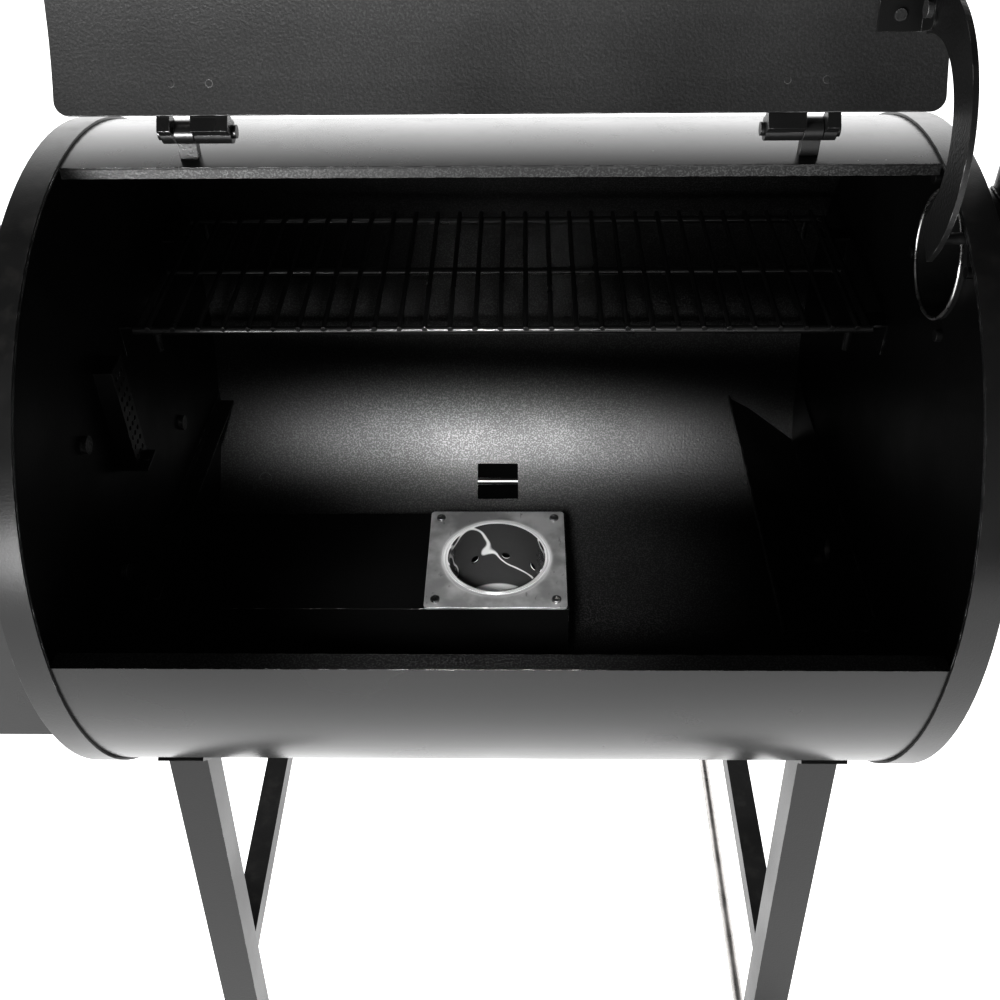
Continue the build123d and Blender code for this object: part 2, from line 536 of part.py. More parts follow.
# ---- pellet hopper -----------------------------------------------------------
def hopper():
    x0, x1, half = HOPPER_LEFT, HOPPER_RIGHT, HOPPER_HALF
    low, top = HOPPER_LOW, HOPPER_TOP
    cabinet = block(x0, x1, -half, half, low, top)
    cabinet = fillet(cabinet.edges().filter_by(Axis.Z), 9)
    inside = block(x0 + SHEET, x1 - SHEET, -half + SHEET, half - SHEET, low + SHEET, top + 9)
    cabinet -= fillet(inside.edges().filter_by(Axis.Z), 7)
    duct = (-60.0, 64.0, AUGER_Z - 36, AUGER_Z + 36)
    cabinet -= block(x1 - 9, x1 + 9, duct[0], duct[1], duct[2], duct[3])
    for k in range(6):
        y = 80 + k * 9
        cabinet -= block(x0 - 9, x0 + 9, y, y + 4, AUGER_Z - 22, AUGER_Z + 26)

    # A short square sleeve joins the cabinet to the chamber's left end wall,
    # and shouldered bolts through both sheets carry it.
    sleeve = block(x1 - SHEET, -WALL_X - SHEET, duct[0] - 6, duct[1] + 6, duct[2], duct[3] + 8)
    sleeve -= block(x1 - 9, -WALL_X + 9, duct[0], duct[1], duct[2] + 3, duct[3])
    cabinet += sleeve
    bolts = []
    for y in (-110.0, 110.0):
        for z in (-60.0, 84.0):
            bolt = rod_x(BOLT_R, x1 - SHEET, -WALL_X, y, z)
            bolt += rod_x(BOLT_HEAD_R, x1 - SHEET - BOLT_HEAD, x1 - SHEET, y, z)
            bolt += rod_x(BOLT_HEAD_R, x1, -WALL_X - SHEET, y, z)
            bolt += rod_x(BOLT_HEAD_R, -WALL_X, -WALL_X + BOLT_HEAD, y, z)
            bolts.append(bolt)
            cabinet -= bolt
            parts["end_wall_left"] -= bolt

    # Sloped chute from the cabinet's walls down to the auger inlet.
    rim_z, neck_z = 62.0, AUGER_Z + TUBE_R + 4

    def chute_body(shrink, drop):
        inset = 2 * (SHEET + shrink + 0.3)
        wide = RectangleRounded(x1 - x0 - inset, 2 * half - inset, 8)
        neck = RectangleRounded(66 - 2 * shrink, 40 - 2 * shrink, 8)
        return loft([Plane.XY.offset(rim_z + drop) * Pos((x0 + x1) / 2, 0) * wide,
                     Plane.XY.offset(neck_z - drop) * Pos(-470, 0) * neck])

    chute = chute_body(0, 0) - chute_body(1.8, 0.01)
    keep("hopper_chute", chute)
    bars = [rod_y(2.5, -62, 62, x, -52) for x in (-540, -520, -500, -480, -460, -440, -420)]
    guard = rod_x(2.5, -556, -404, 0, -52)
    for bar in bars:
        guard += bar
    keep("hopper_guard", guard & chute_body(2.2, 0))
    keep("hopper_cabinet", cabinet)

    # Lid with folded edges, hinged along the rear.
    lid_low = top - 16
    cover = block(x0 - 4, x1, -half - 4, half + 4, lid_low, top + 3)
    cover = fillet(cover.edges().filter_by(Axis.Z), 11)
    cover = fillet(cover.edges().group_by(Axis.Z)[-1], 2)
    cover -= block(x0 - 1.5, x1 - SHEET - 9, -half - 1.5, half + 1.5, lid_low - 9, top + 1)
    cover -= block(x1 - 12, x1 + 9, -half - 9, half + 9, lid_low - 9, top + 1)
    cover -= block(x0 - 9, x1 + 9, half - 1, half + 9, lid_low - 9, top + 1)
    y, z = half + HOPPER_HINGE_OUT, top - 4.0
    pin_r, knuckle_r = 2.5, 5.0
    hinges = []
    for x in (x0 + 55, x1 - 55):
        wing = rod_x(knuckle_r, x - 9, x + 9, y, z)
        wing += block(x - 9, x + 9, half + 2, y, z + 2, top + 3)
        cover += wing
        cover -= rod_x(pin_r + FIT, x - 20, x + 20, y, z)
        hinge = rod_x(pin_r, x - 19, x + 19, y, z)
        for at in (x - 14, x + 14):
            hinge += rod_x(knuckle_r, at - 4.5, at + 4.5, y, z)
            hinge += block(at - 4.5, at + 4.5, half, y, z - 26, z - 1)
        hinges.append(hinge)
    keep("hopper_hinges", *hinges)
    grip_x = (x0 + x1) / 2
    grip = block(grip_x - 50, grip_x + 50, -half - 34, -half - 22, top - 10, top - 1)
    grip = fillet(grip.edges(), 3)
    for at in (grip_x - 40, grip_x + 40):
        grip += block(at - 6, at + 6, -half - 26, -half - 4, top - 8, top - 3)
    keep("hopper_lid", cover + grip)
    return bolts


def drive():
    """Auger gear motor and combustion fan inside the cabinet."""
    z = AUGER_Z
    gearbox = block(MOTOR_X, MOTOR_X + 25, -30, 30, z - 30, z + 36)
    gearbox = fillet(gearbox.edges().filter_by(Axis.X), 6)
    gearbox += rod_x(24, MOTOR_X - 18, MOTOR_X, 0, z + 8)
    keep("auger_motor", gearbox - rod_x(AUGER_SHAFT_R + FIT, MOTOR_X + 9, -500, 0, z))

    fx, fz = -440.0, z - 2
    y0, y1 = 32.0, 66.0
    casing = block(fx - 36, fx + 36, y0, y1, fz - 34, fz + 34)
    casing = fillet(casing.edges().filter_by(Axis.Y), 16)
    duct = block(fx + 20, -WALL_X - SHEET, 34, 62, z - 16, z + 16)
    casing += duct
    cavity = rod_y(32, y0 + 1.6, y1 - 1.6, fx, fz)
    casing -= cavity
    casing -= block(fx, -WALL_X + 9, 35.6, 60.4, z - 14.4, z + 14.4)
    casing -= rod_y(19, y1 - 9, y1 + 9, fx, fz)
    hub_r = 3.0
    casing += rod_y(hub_r, y0 + 1.0, y1 - 12, fx, fz)
    keep("fan_casing", casing)
    wheel = rod_y(27, y0 + 4, y0 + 6, fx, fz) + rod_y(7, y0 + 4, y0 + 18, fx, fz)
    blades = 14
    for k in range(blades):
        a = 360 * k / blades
        fin = Pos(fx, y0 + 15, fz) * Rot(0, a, 0) * Pos(22, 0, 0) * Rot(0, 35, 0) * Box(10, 20, 1.4)
        wheel += fin
    wheel -= rod_y(hub_r + FIT, y0, y1, fx, fz)
    keep("fan_wheel", wheel)


def controls():
    y = -HOPPER_HALF
    x0, x1, z0, z1 = -548.0, -394.0, -18.0, 78.0
    panel = block(x0, x1, y - 15, y, z0, z1)
    panel = fillet(panel.edges().filter_by(Axis.Y), 8)
    panel = fillet(panel.edges().group_by(Axis.Y)[0], 3)
    screen_x, screen_z = -506.0, 46.0
    knob_x, knob_z, button_z = -434.0, 30.0, 6.0
    panel -= block(screen_x - 28, screen_x + 28, y - 18, y - 9, screen_z - 14, screen_z + 14)
    panel -= rod_y(8.4, y - 18, y - 4, screen_x, button_z)
    panel -= rod_y(4.5 + FIT, y - 18, y - 5, knob_x, knob_z)
    screen = block(screen_x - 27.8, screen_x + 27.8, y - 13.5, y - 11.5,
                   screen_z - 13.8, screen_z + 13.8)
    knob = rod_y(21, y - 33, y - 15.5, knob_x, knob_z)
    knob = chamfer(knob.edges().group_by(Axis.Y)[0], 2)
    grip_count = 18
    for k in range(grip_count):
        a = radians(360 * k / grip_count)
        knob -= rod_y(1.8, y - 40, y - 21, knob_x + 22 * cos(a), knob_z + 22 * sin(a))
    knob -= block(knob_x - 1, knob_x + 1, y - 34, y - 32, knob_z + 4, knob_z + 18)
    knob += rod_y(4.5, y - 16, y - 6, knob_x, knob_z)
    button = rod_y(8.0, y - 18.5, y - 7, screen_x, button_z)
    button = fillet(button.edges().group_by(Axis.Y)[0], 1.2)
    keep("control_panel", panel)
    keep("control_screen", screen)
    keep("control_knob", knob)
    keep("power_button", button)


# ---- stand -------------------------------------------------------------------
def leg_line(z):
    """Distance of a front leg's centre line from the middle at height z."""
    slope = (LEG_FOOT_Y - LEG_TOP_Y) / (AXIS_HEIGHT + LEG_TOP_Z)
    return LEG_TOP_Y + (LEG_TOP_Z - z) * slope


def leg_body(size, high, low):
    """A square bar along the front leg's line, on the right side."""
    h = size / 2
    outline = [(-leg_line(high) - h, high), (-leg_line(high) + h, high),
               (-leg_line(low) + h, low), (-leg_line(low) - h, low)]
    return prism_x(outline, LEG_X - h, LEG_X + h)


def stand(bolts):
    strap_r = CHAMBER_R + 3.2
    strap_half = 20.0
    clear = rod_x(strap_r, -999, 999)
    strap = tube_x(CHAMBER_R + 0.1, strap_r, LEG_X - strap_half, LEG_X + strap_half)
    strap &= sector_x(-142, -38, LEG_X - 40, LEG_X + 40)
    floor = -AXIS_HEIGHT
    foot_tall = 15.0
    axle_z = floor + WHEEL_R
    right_low, left_low = axle_z - 24, floor + foot_tall
    wall = 2.0

    def leg(low):
        tube = leg_body(LEG, -150, low) - leg_body(LEG - 2 * wall, -100, low - 9)
        return tube - clear

    axle_reach = leg_line(axle_z) + LEG / 2 + 8 + WHEEL_WIDTH + 5
    axle = rod_y(AXLE_R, -axle_reach, axle_reach, LEG_X, axle_z)
    collar_y = leg_line(axle_z) + LEG / 2 + 3
    right_leg = leg(right_low) - axle
    left_leg = mirror(leg(left_low), Plane.YZ)
    shell_bore = CHAMBER_R - SHEET
    bolt = rod_y(BOLT_R, -strap_r - BOLT_HEAD, -shell_bore, LEG_X)
    bolt += rod_y(BOLT_HEAD_R, -shell_bore, -shell_bore + BOLT_HEAD, LEG_X)
    bolt = facing_front(bolt, CRADLE_BOLT_AT)
    strap -= bolt + mirror(bolt, Plane.XZ)
    right_leg, left_leg = right_leg - bolt, left_leg - mirror(bolt, Plane.YZ)
    cradle_bolts = both_sides(bolt) + both_sides(mirror(bolt, Plane.XZ))
    for item in cradle_bolts:
        parts["barrel_shell"] -= item
    keep("legs_right", right_leg, mirror(right_leg, Plane.XZ))
    keep("legs_left", left_leg, mirror(left_leg, Plane.XZ))
    keep("barrel_cradles", *both_sides(strap))
    keep("frame_bolts", *bolts, *cradle_bolts)

    b = BRACE / 2
    side = block(LEG_X - b, LEG_X + b, -260, 260, BRACE_Z - b, BRACE_Z + b)
    side -= block(LEG_X - b + wall, LEG_X + b - wall, -261, 261,
                  BRACE_Z - b + wall, BRACE_Z + b - wall)
    outer_band = prism_x([(-leg_line(z) + LEG / 2, z) for z in (-400, -700)]
                         + [(leg_line(z) - LEG / 2, z) for z in (-700, -400)], 0, 999)
    side &= outer_band
    keep("side_braces", *both_sides(side))
    y = leg_line(BRACE_Z)
    reach = LEG_X - LEG / 2
    rail = block(-reach, reach, y - b, y + b, BRACE_Z - b, BRACE_Z + b)
    rail -= block(-999, 999, y - b + wall, y + b - wall, BRACE_Z - b + wall, BRACE_Z + b - wall)
    keep("rear_rail", rail)

    feet = []
    for sy in (-1, 1):
        f = LEG / 2 + 2.5
        y = sy * leg_line(left_low)
        pad = block(-LEG_X - f, -LEG_X + f, y - f, y + f, floor, left_low)
        pad = fillet(pad.edges().filter_by(Axis.Z), 6)
        pad = fillet(pad.edges().group_by(Axis.Z)[0], 2)
        plug = mirror(leg_body(LEG - 2 * wall - 0.4, left_low + 22, left_low - 1), Plane.YZ)
        plug = plug if sy < 0 else mirror(plug, Plane.XZ)
        feet.append(pad + plug)
    keep("foot_pads", *feet)
    collar = rod_y(11, collar_y, collar_y + 4, LEG_X, axle_z)
    keep("axle", axle + collar + mirror(collar, Plane.XZ))
    wheel_y = collar_y + 4.5
    tread, hub = wheel(wheel_y, axle_z)
    for name, sign in (("front", -1), ("rear", 1)):
        keep("tyre_" + name, tread if sign > 0 else mirror(tread, Plane.XZ))
        keep("wheel_" + name, hub if sign > 0 else mirror(hub, Plane.XZ))
    cap_y = wheel_y + WHEEL_WIDTH + 0.5
    cap = rod_y(11, cap_y, cap_y + 9, LEG_X, axle_z)
    cap = fillet(cap.edges().group_by(Axis.Y)[-1], 3) - axle
    keep("axle_caps", cap, mirror(cap, Plane.XZ))


def wheel(y0, z):
    """Moulded wheel: a spoked hub and a grooved solid tyre."""
    y1 = y0 + WHEEL_WIDTH
    rim_r = WHEEL_R - 14
    tyre = tube_y(rim_r, WHEEL_R, y0, y1, LEG_X, z)
    tyre = fillet(tyre.edges().filter_by(GeomType.CIRCLE).group_by(SortBy.RADIUS)[-1], 4)
    grooves = 24
    for k in range(grooves):
        notch = Pos(WHEEL_R, 0, 0) * Box(5, 9, 4)
        for side in (-1, 1):
            y = (y0 + y1) / 2 + side * (WHEEL_WIDTH / 2 - 3)
            tyre -= Pos(LEG_X, y, z) * Rot(0, 360 * (k + side / 4) / grooves, 0) * notch
    hub = tube_y(rim_r - 6, rim_r, y0 + 1, y1 - 1, LEG_X, z)
    hub += rod_y(17, y0, y1, LEG_X, z)
    hub += rod_y(rim_r - 3, (y0 + y1) / 2 - 2, (y0 + y1) / 2 + 2, LEG_X, z)
    spokes = 5
    for k in range(spokes):
        rib = Pos(LEG_X, (y0 + y1) / 2, z) * Rot(0, 360 * k / spokes, 0)
        hub += rib * Pos(38, 0, 0) * Box(46, WHEEL_WIDTH - 8, 7)
        hub -= rib * Rot(0, 36, 0) * Pos(38, 0, 0) * Rot(90, 0, 0) * Cylinder(12, 20)
    hub -= rod_y(AXLE_R + FIT, y0 - 1, y1 + 1, LEG_X, z)
    return tyre, hub


# ---- grease spout and bucket -------------------------------------------------
def grease():
    end_x = BUCKET_X + 20
    spout = tube_x(SPOUT_R - 1.5, SPOUT_R, WALL_X - SHEET, end_x, SPOUT_Y, SPOUT_Z)
    mouth = block(BUCKET_X + 4, end_x + 9, SPOUT_Y - 20, SPOUT_Y + 20, SPOUT_Z - 20, SPOUT_Z - 3)
    spout -= mouth
    spout += tube_x(SPOUT_R, SPOUT_R + 10, WALL_X + SHEET, WALL_X + SHEET + 2,
                    SPOUT_Y, SPOUT_Z)
    keep("grease_spout", spout)

    wire = 2.2
    bail_top = SPOUT_Z + SPOUT_R + 0.4 + wire
    ear_z = bail_top - 88
    high, low = ear_z + 12, ear_z + 12 - BUCKET_TALL
    outside = loft([Plane.XY.offset(low) * Pos(BUCKET_X, SPOUT_Y) * Circle(BUCKET_R - 10),
                    Plane.XY.offset(high) * Pos(BUCKET_X, SPOUT_Y) * Circle(BUCKET_R)])
    inside = loft([Plane.XY.offset(low + 1.2) * Pos(BUCKET_X, SPOUT_Y) * Circle(BUCKET_R - 11),
                   Plane.XY.offset(high + 0.1) * Pos(BUCKET_X, SPOUT_Y) * Circle(BUCKET_R - 1.2)])
    bucket = outside - inside
    bead = Pos(BUCKET_X, SPOUT_Y, high) * Torus(BUCKET_R, 2.2)
    bucket += bead
    for sy in (-1, 1):
        face = SPOUT_Y + sy * BUCKET_R
        ear = block(BUCKET_X - 8, BUCKET_X + 8, min(face - sy, face + sy * 3),
                    max(face - sy, face + sy * 3), ear_z - 9, high)
        bucket += ear
        bucket -= rod_y(wire + FIT, face - 12, face + 12, BUCKET_X, ear_z)
    keep("grease_bucket", bucket)

    span = BUCKET_R + 8
    bend = 20.0
    top = bail_top
    line = [(BUCKET_X, SPOUT_Y - BUCKET_R - 0.8 + 4, ear_z), (BUCKET_X, SPOUT_Y - span, ear_z),
            (BUCKET_X, SPOUT_Y - span, ear_z + 34), (BUCKET_X, SPOUT_Y - 16, top),
            (BUCKET_X, SPOUT_Y + 16, top), (BUCKET_X, SPOUT_Y + span, ear_z + 34),
            (BUCKET_X, SPOUT_Y + span, ear_z), (BUCKET_X, SPOUT_Y + BUCKET_R + 0.8 - 4, ear_z)]
    path = FilletPolyline(*line, radius=[2.6, bend, 14, 14, bend, 2.6])
    bail = sweep(Plane(origin=path @ 0, z_dir=path % 0) * Circle(wire), path)
    keep("bucket_bail", bail)


# ---- build, move to the reference point and write ----------------------------
def build():
    chamber()
    tray_supports()
    burner()
    upper_rack()
    probe()
    lid()
    lid_stay(lid_hinges())
    chimney()
    bolts = hopper()
    drive()
    controls()
    stand(bolts)
    grease()


build()
boxes = [shape.bounding_box() for shape in parts.values()]
middle_x = (min(b.min.X for b in boxes) + max(b.max.X for b in boxes)) / 2
middle_y = (min(b.min.Y for b in boxes) + max(b.max.Y for b in boxes)) / 2
shift = Pos(-middle_x, -middle_y, AXIS_HEIGHT)
os.makedirs("parts", exist_ok=True)
for name, shape in parts.items():
    export_step(shift * shape, "parts/" + name + ".step")
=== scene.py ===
import json
from math import cos, pi, radians, sin

import bmesh
import bpy
from mathutils import Matrix, Vector


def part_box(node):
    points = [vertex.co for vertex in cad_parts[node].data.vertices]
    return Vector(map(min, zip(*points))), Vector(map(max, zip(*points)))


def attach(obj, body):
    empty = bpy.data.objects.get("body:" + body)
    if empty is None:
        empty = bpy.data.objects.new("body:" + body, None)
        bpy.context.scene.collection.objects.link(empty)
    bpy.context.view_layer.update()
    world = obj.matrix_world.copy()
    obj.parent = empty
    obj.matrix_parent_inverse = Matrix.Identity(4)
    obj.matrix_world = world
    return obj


# Looks of a round-barrel pellet smoker with its lid open. Metres, in the frame of
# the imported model: X runs along the chamber to the right, Y to the rear and Z up.

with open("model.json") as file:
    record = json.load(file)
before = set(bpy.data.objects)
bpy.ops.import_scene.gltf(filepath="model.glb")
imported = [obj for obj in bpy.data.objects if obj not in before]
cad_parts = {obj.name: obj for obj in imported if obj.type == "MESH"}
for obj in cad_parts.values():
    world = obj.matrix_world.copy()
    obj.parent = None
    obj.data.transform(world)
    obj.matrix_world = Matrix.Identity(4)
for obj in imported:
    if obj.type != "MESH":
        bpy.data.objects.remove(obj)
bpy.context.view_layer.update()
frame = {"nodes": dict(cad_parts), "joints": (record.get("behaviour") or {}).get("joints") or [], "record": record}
nodes = frame["nodes"]
record = frame["record"]

MM = 0.001
X_WAY = Vector((1, 0, 0))
Z_WAY = Vector((0, 0, 1))


# ---- places read from the frame ----------------------------------------------
def middle(node):
    low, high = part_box(node)
    return (low + high) / 2


def opening(name):
    """Centre of one of the record's stated openings."""
    found = next(o for o in record["physics"]["openings"] if o["name"] == name)
    low, high = found["box_m"]
    return (Vector(low) + Vector(high)) / 2


def joint(name):
    return next(j for j in frame["joints"] if j["name"] == name)


AXIS = middle("barrel_shell")
SHELL_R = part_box("barrel_shell")[1].z - AXIS.z
SHEET = 2 * MM
HOOD_MARGIN = 11 * MM      # the vent's hood is this much wider than its slots, at each end
VENT_HALF = (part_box("vent_cover")[1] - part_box("vent_cover")[0]).x / 2 - HOOD_MARGIN
VENT_AT = radians(-47.4)   # turn of the rear vent about the axis, up from straight back
VENT_OUT = Vector((0, cos(VENT_AT), sin(VENT_AT)))
VENT = Vector((middle("vent_cover").x, AXIS.y, AXIS.z)) + (SHELL_R - SHEET) * VENT_OUT
POT_BORE = 50 * MM         # radius of the burn pot's bowl


# ---- node materials ----------------------------------------------------------
class Shader:
    """A node material being put together."""

    def __init__(self, name):
        self.material = bpy.data.materials.new(name)
        self.material.use_nodes = True
        self.tree = self.material.node_tree
        self.bsdf = self.tree.nodes["Principled BSDF"]
        self.place = self.add("ShaderNodeTexCoord").outputs["Object"]

    def add(self, kind, **settings):
        node = self.tree.nodes.new(kind)
        for key, value in settings.items():
            setattr(node, key, value)
        return node

    def put(self, node, name, value):
        """Set a socket to a fixed value, or link it to another node's output."""
        if isinstance(value, bpy.types.NodeSocket):
            self.tree.links.new(value, node.inputs[name])
        else:
            node.inputs[name].default_value = value

    def maths(self, operation, a, b=0.0):
        node = self.add("ShaderNodeMath", operation=operation)
        self.put(node, 0, a)
        self.put(node, 1, b)
        return node.outputs[0]

    def noise(self, scale, detail=3.0, stretch=None):
        node = self.add("ShaderNodeTexNoise")
        self.put(node, "Scale", scale)
        self.put(node, "Detail", detail)
        place = self.place
        if stretch:
            mapping = self.add("ShaderNodeMapping")
            self.put(mapping, "Vector", place)
            self.put(mapping, "Scale", stretch)
            place = mapping.outputs[0]
        self.put(node, "Vector", place)
        return node.outputs["Fac"]

    def span(self, value, low, high, start=0.0, end=1.0):
        """Carry a value from low..high to start..end, with a soft step."""
        node = self.add("ShaderNodeMapRange", interpolation_type="SMOOTHSTEP")
        self.put(node, "Value", value)
        self.put(node, "From Min", low)
        self.put(node, "From Max", high)
        self.put(node, "To Min", start)
        self.put(node, "To Max", end)
        return node.outputs["Result"]

    def blend(self, share, a, b):
        node = self.add("ShaderNodeMix", data_type="RGBA")
        self.put(node, 0, share)
        self.put(node, 6, a)
        self.put(node, 7, b)
        return node.outputs[2]

    def mixed(self, share, a, b):
        node = self.add("ShaderNodeMix", data_type="FLOAT")
        self.put(node, 0, share)
        self.put(node, 2, a)
        self.put(node, 3, b)
        return node.outputs[0]

    def rounded(self, radius):
        node = self.add("ShaderNodeBevel", samples=4)
        self.put(node, "Radius", radius)
        return node.outputs[0]

    def edges(self, rounded_normal):
        """1 along sharp edges, 0 on flats."""
        geometry = self.add("ShaderNodeNewGeometry")
        dot = self.add("ShaderNodeVectorMath", operation="DOT_PRODUCT")
        self.put(dot, 0, rounded_normal)
        self.put(dot, 1, geometry.outputs["Normal"])
        return self.span(dot.outputs["Value"], 0.998, 0.90)

    def facing_up(self):
        split = self.add("ShaderNodeSeparateXYZ")
        geometry = self.add("ShaderNodeNewGeometry")
        self.put(split, 0, geometry.outputs["Normal"])
        return self.span(split.outputs["Z"], 0.55, 1.0)

    def within(self, centre, radius):
        """1 nearer than a radius to a line along X, 0 beyond it."""
        split = self.add("ShaderNodeSeparateXYZ")
        self.put(split, 0, self.place)
        dy = self.maths("SUBTRACT", split.outputs["Y"], centre.y)
        dz = self.maths("SUBTRACT", split.outputs["Z"], centre.z)
        square = self.maths("ADD", self.maths("MULTIPLY", dy, dy),
                            self.maths("MULTIPLY", dz, dz))
        return self.maths("LESS_THAN", square, radius * radius)

    def window(self, centre, half_x, half_z):
        """1 inside a small upright window behind the chamber's axis, 0 outside it."""
        split = self.add("ShaderNodeSeparateXYZ")
        self.put(split, 0, self.place)
        seen = self.maths("GREATER_THAN", split.outputs["Y"], AXIS.y)
        for channel, at, half in (("X", centre.x, half_x), ("Z", centre.z, half_z)):
            away = self.maths("ABSOLUTE", self.maths("SUBTRACT", split.outputs[channel], at))
            seen = self.maths("MULTIPLY", seen, self.maths("LESS_THAN", away, half))
        return seen

    def monochrome(self, level):
        """A grey colour from one changing value."""
        colour = self.add("ShaderNodeCombineColor")
        for channel in ("Red", "Green", "Blue"):
            self.put(colour, channel, level)
        return colour.outputs[0]

    def relief(self, height, depth, normal=None, strength=1.0):
        node = self.add("ShaderNodeBump")
        self.put(node, "Strength", strength)
        self.put(node, "Distance", depth)
        self.put(node, "Height", height)
        if normal is not None:
            self.put(node, "Normal", normal)
        return node.outputs[0]

    def surface(self, colour, roughness, metallic=0.0, normal=None, **fixed):
        self.put(self.bsdf, "Base Color", colour)
        self.put(self.bsdf, "Roughness", roughness)
        self.put(self.bsdf, "Metallic", metallic)
        if normal is not None:
            self.put(self.bsdf, "Normal", normal)
        for name, value in fixed.items():
            self.bsdf.inputs[name.replace("_", " ")].default_value = value
        return self.material


def grey(level, warm=0.0):
    return (level * (1 + warm), level, level * (1 - warm), 1.0)


STEEL = grey(0.42)
DUST = grey(0.16, 0.08)
# near-black level used as painted shade on the shell's inside round the vent slots
PAINTED_SHADE_LEVEL = 0.0005


def coat(name, level, roughness, grain, depth, specular=0.5, worn=0.5, dusty=0.12):
    """Black powder coat: fine bumps, patchy gloss, a little dust and bare edges."""
    s = Shader(name)
    soft = s.rounded(0.8 * MM)
    fine = s.noise(grain, 2.0)
    patch = s.noise(9.0, 5.0)
    spots = s.noise(70.0, 4.0)
    colour = s.blend(s.span(patch, 0.3, 0.7), grey(level * 0.75), grey(level * 1.3))
    dust = s.maths("MULTIPLY", s.facing_up(), s.span(spots, 0.45, 0.75, 0.0, dusty))
    colour = s.blend(dust, colour, DUST)
    bare = s.maths("MULTIPLY", s.edges(soft), s.span(spots, 0.50, 0.62, 0.0, worn))
    colour = s.blend(bare, colour, STEEL)
    gloss = s.span(patch, 0.25, 0.75, roughness * 0.85, roughness * 1.15)
    gloss = s.maths("ADD", gloss, s.maths("MULTIPLY", dust, 0.4))
    normal = s.relief(fine, depth, soft)
    return s.surface(colour, gloss, bare, normal, Specular_IOR_Level=specular)


def two_faced_coat(name, centre, radius, outside, inside, painted_glint_strength, shade_at=None):
    """Sheet that is glossy outside a radius and rough textured black within it.
    Each side is (level, roughness, grain per metre, grain depth). The inside has
    bright specks, a painted highlight standing for light glinting on the grain, of the
    given strength, and about the given point by the vent it is painted matt black as shade."""
    s = Shader(name)
    soft = s.rounded(0.8 * MM)
    inner = s.within(centre, radius)
    patch = s.noise(7.0, 5.0)
    spots = s.noise(70.0, 4.0)
    level = s.mixed(inner, outside[0], inside[0])
    level = s.maths("MULTIPLY", level, s.span(patch, 0.3, 0.7, 0.8, 1.25))
    # painted highlight: bright specks added to the inside's colour, standing for light glinting on the grain
    painted_glints = s.maths("MULTIPLY", s.span(s.noise(640.0, 1.0), 0.48, 0.62), inner)
    level = s.maths("ADD", level, s.maths("MULTIPLY", painted_glints, painted_glint_strength))
    # painted shade: round the vent slots the shell's inside is made matt and near black, standing for the shade
    # behind the slots
    vent_shade = 0.0
    if shade_at is not None:
        vent_shade = s.maths("MULTIPLY", inner, s.window(shade_at, VENT_HALF, 10 * MM))
    level = s.mixed(vent_shade, level, PAINTED_SHADE_LEVEL)
    outer = s.maths("SUBTRACT", 1.0, inner)
    dust = s.maths("MULTIPLY", s.facing_up(), s.span(spots, 0.5, 0.8, 0.0, 0.07))
    dust = s.maths("MULTIPLY", dust, outer)
    colour = s.blend(dust, s.monochrome(level), DUST)
    bare = s.maths("MULTIPLY", s.edges(soft), s.span(spots, 0.46, 0.58, 0.0, 0.8))
    colour = s.blend(bare, colour, STEEL)
    gloss = s.mixed(inner, outside[1], inside[1])
    gloss = s.maths("MULTIPLY", gloss, s.span(patch, 0.25, 0.75, 0.88, 1.12))
    gloss = s.maths("ADD", gloss, s.maths("MULTIPLY", dust, 0.5))
    gloss = s.maths("MULTIPLY", gloss, s.mixed(painted_glints, 1.08, 0.84))
    gloss = s.mixed(vent_shade, gloss, 1.0)
    smooth = s.relief(s.noise(outside[2], 2.0), outside[3], soft, s.mixed(inner, 1.0, 0.0))
    rough = s.relief(s.noise(inside[2], 2.5), inside[3], smooth, inner)
    return s.surface(colour, gloss, bare, rough, Specular_IOR_Level=0.5)


def metal(name, level, roughness, brushed=None, blotch=0.15, warm=0.0, depth=0.02 * MM):
    """Bare or plated metal: brush lines, cloudy stains and fine scratches."""
    s = Shader(name)
    soft = s.rounded(0.6 * MM)
    lines = s.noise(900.0 if brushed else 260.0, 3.0, brushed)
    cloud = s.noise(34.0, 5.0)
    stain = s.noise(85.0, 6.0)
    tone = s.blend(s.span(cloud, 0.3, 0.7), grey(level * (1 - blotch), warm),
                   grey(min(level * (1 + blotch), 0.95), warm))
    marks = s.span(stain, 0.66, 0.74, 0.0, 0.35)
    tone = s.blend(marks, tone, grey(level * 0.5, warm))
    gloss = s.span(cloud, 0.25, 0.75, roughness * 0.8, roughness * 1.25)
    gloss = s.maths("ADD", gloss, s.span(lines, 0.3, 0.7, -0.05, 0.08))
    normal = s.relief(lines, depth, soft)
    return s.surface(tone, gloss, 1.0, normal)


